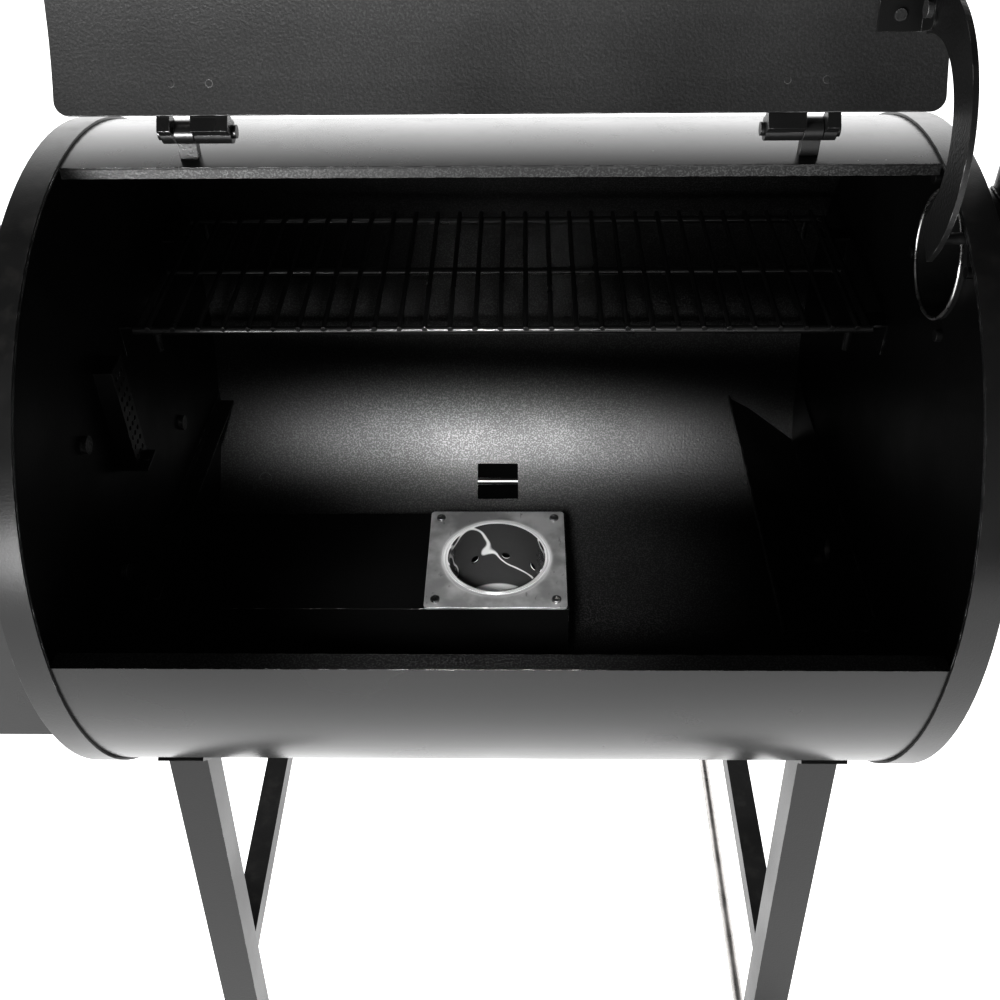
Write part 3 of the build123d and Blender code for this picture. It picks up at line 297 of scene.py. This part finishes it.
def pot_steel(name):
    """Stainless burn pot: cloudy brushed flange; rolled lip, bright with a painted
    highlight that grows towards the rear; wavy bowl painted dark as shade, with painted
    highlight streaks high up and a painted bright reflection near the bottom."""
    s = Shader(name)
    soft = s.rounded(0.6 * MM)
    centre = middle("burn_pot")
    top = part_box("burn_pot")[1].z
    split = s.add("ShaderNodeSeparateXYZ")
    s.put(split, 0, s.place)
    dx = s.maths("SUBTRACT", split.outputs["X"], centre.x)
    dy = s.maths("SUBTRACT", split.outputs["Y"], centre.y)
    square = s.maths("ADD", s.maths("MULTIPLY", dx, dx), s.maths("MULTIPLY", dy, dy))
    away = s.maths("SQRT", square)
    bowl = s.maths("LESS_THAN", away, POT_BORE - 0.9 * MM)
    lip = s.span(away, POT_BORE + 2 * MM, POT_BORE + 9 * MM, 1.0, 0.0)
    # painted highlight: the lip's tone rises from the front to the rear, where light catches it
    rearward = s.span(dy, -45 * MM, 15 * MM, 0.38, 1.0)
    height = s.maths("SUBTRACT", split.outputs["Z"], top)
    # painted reflection: the bowl's floor, below this depth, is made bright
    painted_floor_glow = s.span(height, -86 * MM, -89 * MM)
    shallow = s.span(height, -70 * MM, -60 * MM)
    # painted highlight: thin bright streaks high in the bowl, standing for glints of light on its wall
    ripple = s.maths("ABSOLUTE", s.maths("SUBTRACT", s.noise(15.0, 1.6), 0.5))
    painted_glint_lines = s.maths("MULTIPLY", s.span(ripple, 0.004, 0.016, 1.0, 0.0), shallow)
    # painted shade: the bowl is made dark, apart from the painted streaks and the painted bright floor
    inside = s.mixed(s.maths("MAXIMUM", painted_glint_lines, painted_floor_glow), 0.07, 0.95)
    cloud = s.noise(26.0, 5.0)
    stains = s.span(s.noise(95.0, 6.0, (1.6, 0.7, 1.0)), 0.63, 0.72, 0.0, 0.55)
    tone = s.mixed(s.span(cloud, 0.32, 0.68), 0.34, 0.72)
    tone = s.mixed(stains, tone, 0.16)
    # the lip takes the painted front-to-rear highlight
    tone = s.mixed(lip, tone, rearward)
    tone = s.mixed(s.edges(soft), tone, 0.9)
    tone = s.mixed(bowl, tone, inside)
    gloss = s.mixed(s.span(cloud, 0.3, 0.7), 0.42, 0.30)
    gloss = s.mixed(lip, gloss, 0.22)
    gloss = s.mixed(bowl, gloss, 0.20)
    lines = s.noise(700.0, 3.0, (0.05, 1.0, 1.0))
    brush = s.relief(lines, 0.02 * MM, soft, s.mixed(lip, 1.0, 0.2))
    waves = s.relief(s.noise(42.0, 2.0), 1.2 * MM, brush, bowl)
    return s.surface(s.monochrome(tone), gloss, s.mixed(lip, 0.55, 0.1), waves)


def spangled(name):
    """Hot-dip galvanised sheet with its crystal pattern."""
    s = Shader(name)
    soft = s.rounded(0.6 * MM)
    crystals = s.add("ShaderNodeTexVoronoi", feature="F1")
    s.put(crystals, "Scale", 85.0)
    s.put(crystals, "Vector", s.place)
    shade = s.add("ShaderNodeSeparateXYZ")
    s.put(shade, 0, crystals.outputs["Color"])
    tone = s.blend(shade.outputs["X"], grey(0.42), grey(0.62))
    gloss = s.span(shade.outputs["Y"], 0.0, 1.0, 0.30, 0.52)
    return s.surface(tone, gloss, 1.0, s.relief(s.noise(400.0), 0.02 * MM, soft))


def moulded(name, level, roughness, grain=700.0, depth=0.05 * MM, warm=0.0):
    """Moulded plastic or rubber with a fine spark-eroded texture and scuffed edges."""
    s = Shader(name)
    soft = s.rounded(0.9 * MM)
    fine = s.noise(grain, 2.0)
    patch = s.noise(22.0, 5.0)
    colour = s.blend(s.span(patch, 0.3, 0.7), grey(level * 0.8, warm), grey(level * 1.25, warm))
    scuff = s.maths("MULTIPLY", s.edges(soft), s.span(patch, 0.40, 0.62, 0.0, 0.5))
    colour = s.blend(scuff, colour, grey(level * 3.5, warm))
    dust = s.maths("MULTIPLY", s.facing_up(), s.span(s.noise(120.0, 4.0), 0.5, 0.8, 0.0, 0.18))
    colour = s.blend(dust, colour, DUST)
    gloss = s.span(patch, 0.25, 0.75, roughness * 0.9, roughness * 1.1)
    return s.surface(colour, gloss, 0.0, s.relief(fine, depth, soft))


def glass(name):
    s = Shader(name)
    smear = s.noise(45.0, 5.0)
    gloss = s.span(smear, 0.45, 0.75, 0.02, 0.14)
    return s.surface(grey(0.9), gloss, 0.0, s.relief(smear, 0.01 * MM),
                     Transmission_Weight=1.0, IOR=1.45)


def plain_print(name, colour, roughness=0.45, glow=0.0):
    """Thin printed or painted marks, a little worn."""
    s = Shader(name)
    worn = s.span(s.noise(900.0, 4.0), 0.35, 0.7)
    faded = tuple(0.75 * c for c in colour[:3]) + (1.0,)
    tone = s.blend(worn, faded, colour)
    material = s.surface(tone, roughness, 0.0, s.relief(s.noise(1500.0), 0.01 * MM))
    s.bsdf.inputs["Emission Color"].default_value = colour
    s.bsdf.inputs["Emission Strength"].default_value = glow
    return material


def on_open_lid(point):
    """Where a point of the closed lid is while the lid is open, at rest."""
    hinge = joint("lid_hinge")
    pivot = Vector(hinge["pos_m"])
    turn = Matrix.Rotation(-radians(max(hinge["range_deg"])), 3, "X")
    return pivot + turn @ (point - pivot)


LID_SKIN_R = 286.8 * MM    # between the lid's inner and outer faces

# the shell's inner face is painted matt black as shade round the vent; both inner faces carry painted highlight
# specks for light glinting on the grain
SHELL = two_faced_coat("shell_coat", AXIS, SHELL_R - 0.5 * SHEET,
                       outside=(0.012, 0.24, 900.0, 0.015 * MM),
                       inside=(0.003, 0.42, 430.0, 0.24 * MM), painted_glint_strength=0.032, shade_at=VENT)
LID_SKIN = two_faced_coat("lid_coat", on_open_lid(AXIS), LID_SKIN_R,
                          outside=(0.012, 0.26, 900.0, 0.015 * MM),
                          inside=(0.018, 0.60, 480.0, 0.34 * MM), painted_glint_strength=0.012)
RIM = coat("rim_coat", 0.016, 0.32, 620.0, 0.10 * MM)
# painted shade: near-black matt coat with almost no reflection on the vent hood, standing for the shade behind the
# vent slots
VENT_SHADE_COAT = coat("vent_shade_black", 0.0015, 0.9, 480.0, 0.10 * MM, specular=0.04, worn=0.0, dusty=0.0)
INNER = coat("inner_coat", 0.003, 0.46, 480.0, 0.10 * MM, specular=0.25, worn=1.0, dusty=0.0)
LEDGE = coat("ledge_coat", 0.006, 0.40, 480.0, 0.06 * MM, specular=0.4, worn=0.8, dusty=0.0)
HARDWARE = coat("hardware_coat", 0.010, 0.30, 700.0, 0.10 * MM, worn=0.7)
ARM = coat("arm_coat", 0.010, 0.42, 420.0, 0.40 * MM, worn=0.9)
STAND = coat("stand_coat", 0.014, 0.36, 600.0, 0.12 * MM)
HOPPER = coat("hopper_coat", 0.013, 0.30, 650.0, 0.08 * MM)
CHIMNEY = coat("chimney_coat", 0.014, 0.40, 380.0, 0.22 * MM)
ENAMEL = coat("rack_enamel", 0.006, 0.28, 160.0, 0.02 * MM, specular=0.9, worn=0.2, dusty=0.0)
POT_STEEL = pot_steel("pot_steel")
BARE_STEEL = metal("bare_steel", 0.70, 0.28, None, 0.12, 0.01)
HANDLE_STEEL = metal("handle_steel", 0.62, 0.24, (0.05, 1.0, 1.0), 0.06, 0.0)
DIAL_STEEL = metal("dial_steel", 0.60, 0.22, None, 0.08)
ZINC = metal("zinc_plate", 0.48, 0.34, None, 0.20, 0.03)
BOLT_STEEL = coat("bolt_black", 0.006, 0.42, 600.0, 0.06 * MM, specular=0.3, worn=0.2)
SCREW_STEEL = metal("screw_steel", 0.30, 0.36, None, 0.25)
HEATER = metal("heater_steel", 0.34, 0.42, None, 0.25, 0.05)
AUGER_STEEL = metal("auger_steel", 0.36, 0.40, None, 0.25, 0.02)
GALVANISED = spangled("galvanised")
MOTOR = coat("motor_coat", 0.05, 0.40, 500.0, 0.12 * MM)
PLASTIC = moulded("black_plastic", 0.022, 0.45)
RUBBER = moulded("foot_rubber", 0.020, 0.72, 500.0, 0.15 * MM)
TYRE = moulded("tyre_rubber", 0.017, 0.78, 420.0, 0.20 * MM)
WHEEL = moulded("wheel_plastic", 0.050, 0.50, 600.0, 0.08 * MM)
KNOB = moulded("knob_plastic", 0.018, 0.34, 900.0, 0.03 * MM)
GLASS = glass("dial_glass")
SCREEN = moulded("screen_glass", 0.012, 0.10, 40.0, 0.005 * MM)
NEEDLE = plain_print("needle_red", (0.55, 0.02, 0.015, 1.0))
WHITE_PRINT = plain_print("white_print", grey(0.72))
DIAL_WHITE = plain_print("dial_white", grey(0.78, 0.01), 0.55)
DIAL_BLACK = plain_print("dial_black", grey(0.02))
DIAL_GREEN = plain_print("dial_green", (0.05, 0.24, 0.07, 1.0))
DIGITS = plain_print("screen_digits", (0.75, 0.30, 0.06, 1.0), 0.4, 0.9)

FINISHES = {
    SHELL: ["barrel_shell", "frame_bolts"],
    LID_SKIN: ["lid_sheet", "lid_rivets"],
    RIM: ["end_rims"],
    INNER: ["end_wall_left", "end_wall_right", "auger_cover", "rack_hangers"],
    VENT_SHADE_COAT: ["vent_cover"],
    LEDGE: ["tray_ledge_left", "grease_trough", "probe_guard"],
    HARDWARE: ["hinge_posts", "hinge_leaves", "hinge_pins", "stay_bracket", "hopper_hinges"],
    ARM: ["stay_arm"],
    STAND: ["legs_left", "legs_right", "side_braces", "rear_rail", "barrel_cradles"],
    HOPPER: ["hopper_cabinet", "hopper_lid"],
    CHIMNEY: ["chimney_pipe", "chimney_cap"],
    ENAMEL: ["upper_rack"],
    POT_STEEL: ["burn_pot"],
    HANDLE_STEEL: ["lid_handle_bar", "temperature_probe"],
    DIAL_STEEL: ["thermometer_case", "lid_handle_posts"],
    ZINC: ["axle", "grease_spout", "bucket_bail"],
    BOLT_STEEL: ["chimney_screws"],
    SCREW_STEEL: ["burn_pot_screws"],
    HEATER: ["igniter"],
    AUGER_STEEL: ["auger", "auger_tube", "hopper_guard"],
    GALVANISED: ["grease_bucket", "hopper_chute"],
    MOTOR: ["auger_motor"],
    PLASTIC: ["control_panel", "fan_casing", "fan_wheel", "axle_caps", "power_button"],
    RUBBER: ["foot_pads"],
    TYRE: ["tyre_front", "tyre_rear"],
    WHEEL: ["wheel_front", "wheel_rear"],
    KNOB: ["control_knob"],
    GLASS: ["thermometer_window"],
    SCREEN: ["control_screen"],
    NEEDLE: ["thermometer_needle"],
}


def dress_nodes():
    for material, names in FINISHES.items():
        for name in names:
            data = nodes[name].data
            data.materials.clear()
            data.materials.append(material)
    bare = sorted(set(nodes) - {n for names in FINISHES.values() for n in names})
    if bare:
        raise ValueError("no finish for " + ", ".join(bare))


# ---- mesh pieces -------------------------------------------------------------
def add_piece(name, shape, material, body, smooth=True):
    """Turn a bmesh in the row frame into a piece that rides on a body."""
    bmesh.ops.recalc_face_normals(shape, faces=shape.faces)
    data = bpy.data.meshes.new(name)
    shape.to_mesh(data)
    shape.free()
    for face in data.polygons:
        face.use_smooth = smooth
    data.materials.append(material)
    piece = bpy.data.objects.new(name, data)
    bpy.context.scene.collection.objects.link(piece)
    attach(piece, body)
    return piece


def tube_along(shape, points, radius_at, sides=8, closed=False):
    """Sweep a round section along points; radius_at gives the radius at each one."""
    rings = []
    count = len(points)
    for k, point in enumerate(points):
        ahead = points[(k + 1) % count] if closed or k + 1 < count else point
        behind = points[k - 1] if closed or k > 0 else point
        along = (ahead - behind).normalized()
        side = along.orthogonal() if abs(along.z) > 0.9 else along.cross(Vector((0, 0, 1)))
        side.normalize()
        up = side.cross(along)
        r = radius_at(k)
        rings.append([shape.verts.new(point + r * (cos(a) * side + sin(a) * up))
                      for a in (2 * pi * i / sides for i in range(sides))])
    last = count if closed else count - 1
    for k in range(last):
        a, b = rings[k], rings[(k + 1) % count]
        for i in range(sides):
            j = (i + 1) % sides
            shape.faces.new((a[i], a[j], b[j], b[i]))
    if not closed:
        shape.faces.new(list(reversed(rings[0])))
        shape.faces.new(rings[-1])


def between(a, b, step):
    count = max(2, int((b - a).length / step))
    return [a.lerp(b, k / count) for k in range(count + 1)]


def weld_beads():
    """Rippled fillet welds where the braces and the rear rail meet the legs."""
    shape = bmesh.new()
    bead, step = 1.6 * MM, 1.6 * MM

    def ripple(k):
        return bead * (1.0 + 0.22 * sin(k * 1.9) + 0.08 * sin(k * 0.7))

    def square(centre, across, half_a, half_b):
        """A ring of welds round a square tube's end; across is its axis letter."""
        turns = [(-1, -1), (1, -1), (1, 1), (-1, 1)]
        if across == "Y":
            corners = [centre + Vector((a * half_a, 0, b * half_b)) for a, b in turns]
        else:
            corners = [centre + Vector((0, a * half_a, b * half_b)) for a, b in turns]
        for k in range(4):
            tube_along(shape, between(corners[k - 1], corners[k], step), ripple, 6)

    low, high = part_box("side_braces")
    half = (high.z - low.z) / 2
    mid_z = (high.z + low.z) / 2
    for x in (low.x + half, high.x - half):
        for y in (low.y + 1.2 * MM, high.y - 1.2 * MM):
            square(Vector((x, y, mid_z)), "Y", half, half)
    low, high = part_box("rear_rail")
    half = (high.z - low.z) / 2
    for x in (low.x, high.x):
        square(Vector((x, (low.y + high.y) / 2, mid_z)), "X", half, half)
    add_piece("frame_welds", shape, STAND, "chamber")


def chimney_seam():
    """Weld round the chimney's mitred elbow."""
    inlet = opening("flue_inlet")
    upright = middle("chimney_cap")
    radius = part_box("chimney_pipe")[1].x - upright.x
    shape = bmesh.new()
    count = 150
    ring = radius + 0.3 * MM
    points = []
    for k in range(count):
        a = 2 * pi * k / count
        out = ring * cos(a)
        points.append(Vector((upright.x + out, inlet.y + ring * sin(a), inlet.z - out)))
    tube_along(shape, points, lambda k: (1.5 + 0.35 * sin(k * 2.1)) * MM, 7, True)
    add_piece("chimney_seam", shape, CHIMNEY, "chamber")


def collar_bead():
    """Rolled bare-steel edge round the chimney outlet, inside the chamber."""
    inlet = opening("flue_inlet")
    upright = middle("chimney_cap")
    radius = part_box("chimney_pipe")[1].x - upright.x
    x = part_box("chimney_pipe")[0].x
    shape = bmesh.new()
    count = 96
    ring = radius - 0.8 * MM
    points = [Vector((x, inlet.y + ring * cos(a), inlet.z + ring * sin(a)))
              for a in (2 * pi * k / count for k in range(count))]
    tube_along(shape, points, lambda k: (1.35 + 0.12 * sin(k * 0.9)) * MM, 10, True)
    add_piece("collar_bead", shape, BARE_STEEL, "chamber")


def flat_bar(shape, centre, right, up, width, tall, thick):
    """A small plate with chamfered edges; right and up are its unit directions."""
    out = right.cross(up)
    inset = 0.3 * thick
    rings = []
    for depth, shrink in ((0.0, 0.0), (thick - inset, 0.0), (thick, inset)):
        half_w, half_t = width / 2 - shrink, tall / 2 - shrink
        rings.append([shape.verts.new(centre + a * half_w * right + b * half_t * up + depth * out)
                      for a, b in ((-1, -1), (1, -1), (1, 1), (-1, 1))])
    for low, high in zip(rings, rings[1:]):
        for i in range(4):
            j = (i + 1) % 4
            shape.faces.new((low[i], low[j], high[j], high[i]))
    shape.faces.new(rings[-1])
    shape.faces.new(list(reversed(rings[0])))


# ---- dial, screen and knob scale ---------------------------------------------
DIAL_MARKS = 29
DIAL_SWEEP = 270.0


def dial_frame():
    """Right, up and outward directions of the thermometer's face on the open lid."""
    needle = joint("thermometer_needle_turn")
    out = -Vector(needle["axis"]).normalized()
    if (Vector(needle["pos_m"]) - on_open_lid(AXIS)).dot(out) < 0:
        out = -out
    up = out.cross(X_WAY)
    if (on_open_lid(AXIS + Z_WAY) - on_open_lid(AXIS)).dot(up) < 0:
        up = -up
    return X_WAY, up, out


def dial():
    """White printed face with a ring of marks and a green smoking range."""
    right, up, out = dial_frame()
    below_glass = 9.2 * MM
    centre = middle("thermometer_window") - below_glass * out
    face = bmesh.new()
    hole, radius, thick, count = 2.0 * MM, 34.0 * MM, 0.6 * MM, 72
    rims = []
    for r, depth in ((hole, 0.0), (radius, 0.0), (radius, thick), (hole, thick)):
        rims.append([face.verts.new(centre + depth * out + r * (cos(a) * right + sin(a) * up))
                     for a in (2 * pi * k / count for k in range(count))])
    for a, b in zip(rims, rims[1:] + rims[:1]):
        for i in range(count):
            j = (i + 1) % count
            face.faces.new((a[i], a[j], b[j], b[i]))
    add_piece("dial_face", face, DIAL_WHITE, "lid", False)

    marks = bmesh.new()
    marks_r, raised = 31.0 * MM, 0.15 * MM
    for k in range(DIAL_MARKS):
        a = radians(90 + DIAL_SWEEP / 2 - DIAL_SWEEP * k / (DIAL_MARKS - 1))
        along = cos(a) * right + sin(a) * up
        across = -sin(a) * right + cos(a) * up
        long_mark = k % 4 == 0
        tall = (5.0 if long_mark else 2.6) * MM
        wide = (0.9 if long_mark else 0.5) * MM
        at = centre + thick * out + (marks_r - tall / 2) * along
        flat_bar(marks, at, across, along * (1 if across.cross(along).dot(out) > 0 else -1),
                 wide, tall, raised)
    add_piece("dial_marks", marks, DIAL_BLACK, "lid", False)

    zone = bmesh.new()
    start, end, steps = 128.0, 62.0, 24
    inner_r, outer_r = 21.5 * MM, 24.0 * MM
    rings = []
    for k in range(steps + 1):
        a = radians(start + (end - start) * k / steps)
        along = cos(a) * right + sin(a) * up
        rings.append([zone.verts.new(centre + depth * out + r * along)
                      for r, depth in ((inner_r, thick), (outer_r, thick),
                                       (outer_r, thick + raised), (inner_r, thick + raised))])
    for a, b in zip(rings, rings[1:]):
        for i in range(4):
            j = (i + 1) % 4
            zone.faces.new((a[i], a[j], b[j], b[i]))
    zone.faces.new(rings[0])
    zone.faces.new(list(reversed(rings[-1])))
    add_piece("dial_zone", zone, DIAL_GREEN, "lid", False)


def knob_scale():
    """Printed marks round the control knob, longer every third one."""
    low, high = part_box("control_knob")
    centre = (low + high) / 2
    panel_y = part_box("control_panel")[0].y
    radius = (high.x - low.x) / 2
    shape = bmesh.new()
    count = 13
    for k in range(count):
        a = radians(225 - 270 * k / (count - 1))
        along = cos(a) * X_WAY + sin(a) * Z_WAY
        across = -sin(a) * X_WAY + cos(a) * Z_WAY
        tall = (4.5 if k % 3 == 0 else 2.5) * MM
        at = Vector((centre.x, panel_y, centre.z)) + (radius + 2.5 * MM + tall / 2) * along
        flat_bar(shape, at, along, across, tall, 0.8 * MM, -0.15 * MM)
    add_piece("knob_scale", shape, WHITE_PRINT, "chamber", False)


def screen_digits():
    """Three seven-segment digits on the face of the control screen."""
    low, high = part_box("control_screen")
    centre = (low + high) / 2
    shape = bmesh.new()
    wide, tall, bar = 7.0 * MM, 6.5 * MM, 1.3 * MM
    segments = {"top": (0, 1, True), "mid": (0, 0, True), "low": (0, -1, True),
                "upper_left": (-0.5, 0.5, False), "upper_right": (0.5, 0.5, False),
                "lower_left": (-0.5, -0.5, False), "lower_right": (0.5, -0.5, False)}
    digits = {2: ("top", "upper_right", "mid", "lower_left", "low"),
              5: ("top", "upper_left", "mid", "lower_right", "low")}
    for place, digit in ((-1, 2), (0, 2), (1, 5)):
        for name in digits[digit]:
            sx, sz, level = segments[name]
            at = Vector((centre.x + place * 12.5 * MM + sx * wide, low.y,
                         centre.z + sz * tall))
            long_side, short_side = (wide - bar * 0.6, bar) if level else (bar, tall - bar * 0.6)
            flat_bar(shape, at, X_WAY, Z_WAY, long_side, short_side, 0.12 * MM)
    add_piece("screen_digits", shape, DIGITS, "chamber", False)


def vent_strip():
    """Bare sheared edge of the bar left between the two vent slots."""
    shape = bmesh.new()
    flat_bar(shape, VENT, X_WAY, X_WAY.cross(VENT_OUT), 2 * VENT_HALF, 2.2 * MM, 0.6 * MM)
    add_piece("vent_strip", shape, ZINC, "chamber", False)


# ---- studio ------------------------------------------------------------------
DIM_SKY = 0.08
BRIGHT_BACK = 2.4
SEEN_SKY = 1.0
FLOOR_GLOW = 1.35
FLOOR_HALF = 9.0
EYE = AXIS + Vector((0.0176, -0.8238, 0.6479))
EYE_PITCH, EYE_TURN, EYE_ROLL = radians(41.08), radians(1.41), radians(-0.90)
SENSOR_MM, LENS_MM = 36.0, 40.8
REAR_GLOW = radians(38.0)  # where the flash meets the rear wall, below the horizontal


def studio():
    """White floor, a soft bright horizon behind the object and a dim sky in front."""
    world = bpy.data.worlds.new("studio")
    bpy.context.scene.world = world
    world.use_nodes = True
    tree = world.node_tree
    back = tree.nodes["Background"]
    place = tree.nodes.new("ShaderNodeTexCoord")
    split = tree.nodes.new("ShaderNodeSeparateXYZ")
    tree.links.new(place.outputs["Generated"], split.inputs[0])

    def step(value, low, high, start, end):
        node = tree.nodes.new("ShaderNodeMapRange")
        node.interpolation_type = "SMOOTHSTEP"
        tree.links.new(value, node.inputs["Value"])
        for name, number in zip(("From Min", "From Max", "To Min", "To Max"),
                                (low, high, start, end)):
            node.inputs[name].default_value = number
        return node.outputs["Result"]

    low_down = step(split.outputs["Z"], 0.25, 0.80, 1.0, 0.0)
    rearward = step(split.outputs["Y"], -0.1, 0.8, 0.0, 1.0)
    glow = tree.nodes.new("ShaderNodeMath")
    glow.operation = "MULTIPLY"
    tree.links.new(low_down, glow.inputs[0])
    tree.links.new(rearward, glow.inputs[1])
    strength = step(glow.outputs[0], 0.0, 1.0, DIM_SKY, BRIGHT_BACK)
    seen = tree.nodes.new("ShaderNodeLightPath")
    shown = tree.nodes.new("ShaderNodeMix")
    tree.links.new(seen.outputs["Is Camera Ray"], shown.inputs[0])
    tree.links.new(strength, shown.inputs[2])
    shown.inputs[3].default_value = SEEN_SKY
    tree.links.new(shown.outputs[0], back.inputs["Strength"])
    back.inputs["Color"].default_value = grey(1.0)

    floor_mesh = bmesh.new()
    bmesh.ops.create_grid(floor_mesh, x_segments=8, y_segments=8, size=FLOOR_HALF)
    data = bpy.data.meshes.new("floor")
    floor_mesh.to_mesh(data)
    floor_mesh.free()
    floor = bpy.data.objects.new("floor", data)
    bpy.context.scene.collection.objects.link(floor)
    s = Shader("floor_paper")
    tone = s.blend(s.noise(3.0, 4.0), grey(0.80), grey(0.84))
    data.materials.append(s.surface(tone, 0.8, 0.0, s.relief(s.noise(60.0), 0.2 * MM),
                                    Emission_Color=grey(1.0),
                                    Emission_Strength=FLOOR_GLOW))


def spot(name, place, target, power, wide, flat, size):
    """A snooted lamp; its soft cone is 'wide' degrees across and 'flat' times as tall."""
    data = bpy.data.lights.new(name, "SPOT")
    data.energy = power
    data.spot_size = radians(wide)
    data.spot_blend = 1.0
    data.shadow_soft_size = size
    light = bpy.data.objects.new(name, data)
    light.location = place
    light.rotation_mode = "QUATERNION"
    light.rotation_quaternion = (target - place).to_track_quat("-Z", "Y")
    light.scale = (1.0, flat, 1.0)
    bpy.context.scene.collection.objects.link(light)


def lights():
    """A flat flash on the rear wall, a weaker one on the burn pot below it, a thin
    one along the rack's front rod, and soft lamps for the lid and the right rim."""
    flash_at = EYE + Vector((-0.08, -0.02, -0.03))
    wall = AXIS + SHELL_R * Vector((0.0, cos(REAR_GLOW), -sin(REAR_GLOW)))
    spot("flash", flash_at, wall, power=135.0, wide=34.0, flat=0.150, size=0.05)
    spot("fill", flash_at, middle("burn_pot"), power=62.0, wide=24.0, flat=0.50, size=0.05)
    rack_low, rack_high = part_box("upper_rack")
    rod = Vector((AXIS.x, rack_low.y + 10 * MM, rack_high.z - 5 * MM))
    spot("rack_lamp", flash_at, rod, power=40.0, wide=52.0, flat=0.055, size=0.02)
    spot("soft", flash_at, AXIS, power=0.9, wide=80.0, flat=0.9, size=0.05)
    low_left = EYE + Vector((-0.55, -0.1, -0.45))
    lid = middle("lid_sheet") + Vector((-0.10, -0.1, -0.10))
    spot("lid_lamp", low_left, lid, power=72.0, wide=66.0, flat=0.6, size=0.15)
    rim = AXIS + Vector((0.36, -0.15, 0.0))
    right_side = rim + Vector((0.75, -0.75, 0.25))
    spot("rim_lamp", right_side, rim, power=14.0, wide=34.0, flat=1.0, size=0.1)


def camera():
    """The viewpoint: close in front of the chamber, looking down into it."""
    data = bpy.data.cameras.new("camera")
    data.sensor_width = SENSOR_MM
    data.lens = LENS_MM
    data.clip_start = 0.05
    aim = Matrix.Rotation(EYE_TURN, 3, "Z") @ Matrix.Rotation(-EYE_PITCH, 3, "X")
    right, ahead, up = aim.col
    level = right * cos(EYE_ROLL) + up * sin(EYE_ROLL)
    top = up * cos(EYE_ROLL) - right * sin(EYE_ROLL)
    lens = bpy.data.objects.new("camera", data)
    columns = Matrix((level, top, -ahead)).transposed()
    lens.matrix_world = Matrix.Translation(EYE) @ columns.to_4x4()
    bpy.context.scene.collection.objects.link(lens)
    bpy.context.scene.camera = lens


dress_nodes()
weld_beads()
chimney_seam()
collar_bead()
dial()
knob_scale()
screen_digits()
vent_strip()
studio()
lights()
camera()
bpy.context.scene.view_settings.view_transform = "Standard"
bpy.context.scene.view_settings.look = "Medium High Contrast"
